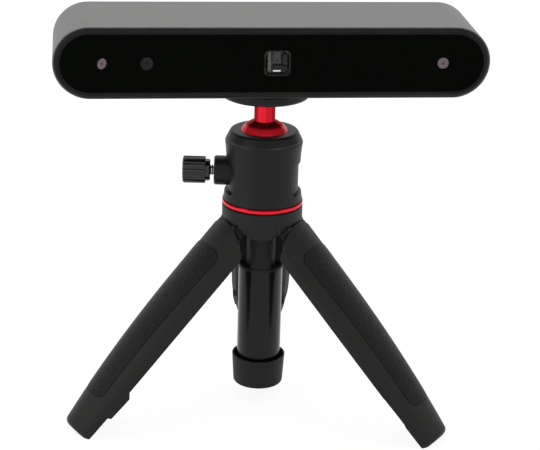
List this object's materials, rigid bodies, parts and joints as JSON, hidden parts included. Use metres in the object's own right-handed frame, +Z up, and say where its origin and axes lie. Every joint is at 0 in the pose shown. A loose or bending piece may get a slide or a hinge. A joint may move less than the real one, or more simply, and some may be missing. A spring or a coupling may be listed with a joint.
{
  "type": "three-dimensional scanner",
  "caption": "Bar-shaped structured-light 3-D scanner head with camera and projector windows, on a ball head and a folding table tripod.",
  "frame": {"origin": "middle of the bounding box's underside, on the floor under the feet", "axes": "+X along the scanner towards the right camera seen from the front, -Y where the cameras look, +Z up"},
  "size_m": [0.155, 0.1304, 0.1491],
  "materials": {
    "head_aluminium": "matte dark grey anodised",
    "black_glass": "polished, nearly opaque black",
    "filter_glass": "polished, tinted",
    "lens_glass": "polished, coated",
    "camera_plastic": "matte",
    "bench_aluminium": "satin",
    "circuit_board": "solder mask",
    "steel": "satin",
    "brass": "turned",
    "head_metal": "satin black",
    "red_anodised": "polished red anodised",
    "black_rubber": "textured",
    "seat_plastic": "smooth",
    "light_pipe": "clear",
    "leg_plastic": "fine grained black",
    "tube_metal": "black anodised"
  },
  "bodies": {
    "tripod": {"leg_hub": "leg_plastic", "hinge_pin_1": "steel", "hinge_pin_2": "steel", "hinge_pin_3": "steel", "centre_tube": "tube_metal", "tube_end_cap": "black_rubber"},
    "leg_one": {"leg_1": "leg_plastic", "grip_1": "black_rubber", "foot_pad_1": "black_rubber"},
    "leg_two": {"leg_2": "leg_plastic", "grip_2": "black_rubber", "foot_pad_2": "black_rubber"},
    "leg_three": {"leg_3": "leg_plastic", "grip_3": "black_rubber", "foot_pad_3": "black_rubber"},
    "lower_pole": {"pole_middle": "tube_metal", "pole_middle_bush": "seat_plastic"},
    "ball_head": {"pole_inner": "tube_metal", "pole_inner_bush": "seat_plastic", "base_plug": "head_metal", "trim_ring": "red_anodised", "head_housing": "head_metal", "pressure_block": "seat_plastic"},
    "clamp": {"clamp_screw": "steel", "clamp_knob": "head_metal"},
    "seat": {"ball_seat": "seat_plastic"},
    "ball": {"ball_and_stem": "red_anodised"},
    "button": {"power_button": "seat_plastic"},
    "scanner": {"scanner_shell": "head_aluminium", "front_bezel": "head_aluminium", "front_window": "black_glass", "left_infrared_camera": "camera_plastic", "right_infrared_camera": "camera_plastic", "colour_camera": "camera_plastic", "left_infrared_lens": "lens_glass", "right_infrared_lens": "lens_glass", "colour_lens": "lens_glass", "projector_body": "camera_plastic", "projector_lens": "lens_glass", "optical_bench": "bench_aluminium", "main_board": "circuit_board", "board_screws": "steel", "heat_sink": "bench_aluminium", "rear_cover": "head_aluminium", "cover_screws": "steel", "button_switch": "camera_plastic", "status_light": "light_pipe", "usb_socket": "steel", "tripod_bush": "brass", "mount_plate": "head_metal", "plate_pad": "black_rubber", "mount_stud": "steel", "left_infrared_window": "filter_glass", "right_infrared_window": "filter_glass", "colour_window": "filter_glass", "projector_window": "filter_glass"}
  },
  "joints": [
    {"name": "leg_hinge_one", "type": "hinge", "parent": "tripod", "child": "leg_one", "pos_m": [0.00058, -0.00181, 0.0706], "axis": [-0.9938, 0.1115, 0], "range_deg": [0, 45.7]},
    {"name": "leg_hinge_two", "type": "hinge", "parent": "tripod", "child": "leg_two", "pos_m": [-0.01124, -0.01784, 0.0706], "axis": [0.4003, -0.9164, 0], "range_deg": [0, 45.7]},
    {"name": "leg_hinge_three", "type": "hinge", "parent": "tripod", "child": "leg_three", "pos_m": [0.00856, -0.02006, 0.0706], "axis": [0.5934, 0.8049, 0], "range_deg": [0, 45.7]},
    {"name": "lower_pole_slide", "type": "slide", "parent": "tripod", "child": "lower_pole", "axis": [0, 0, 1], "range_m": [0, 0.032]},
    {"name": "upper_pole_slide", "type": "slide", "parent": "lower_pole", "child": "ball_head", "axis": [0, 0, 1], "range_m": [0, 0.048]},
    {"name": "clamp_turn", "type": "hinge", "parent": "ball_head", "child": "clamp", "pos_m": [-0.00984, -0.01221, 0.0895], "axis": [-0.9938, 0.1115, 0], "range_deg": [0, 270]},
    {"name": "ball_pan", "type": "hinge", "parent": "ball_head", "child": "seat", "pos_m": [-0.0007, -0.01324, 0.0995], "axis": [0, 0, 1], "continuous": true},
    {"name": "ball_tilt", "type": "hinge", "parent": "seat", "child": "ball", "pos_m": [-0.0007, -0.01324, 0.0995], "axis": [1, 0, 0], "range_deg": [-25, 25]},
    {"name": "plate_turn", "type": "hinge", "parent": "ball", "child": "scanner", "pos_m": [-0.0007, -0.01324, 0.1189], "axis": [0, 0, 1], "continuous": true},
    {"name": "power_button_press", "type": "slide", "parent": "scanner", "child": "button", "axis": [0, -1, 0], "range_m": [0, 0.0005], "stiffness_N_per_m": 3000}
  ]
}
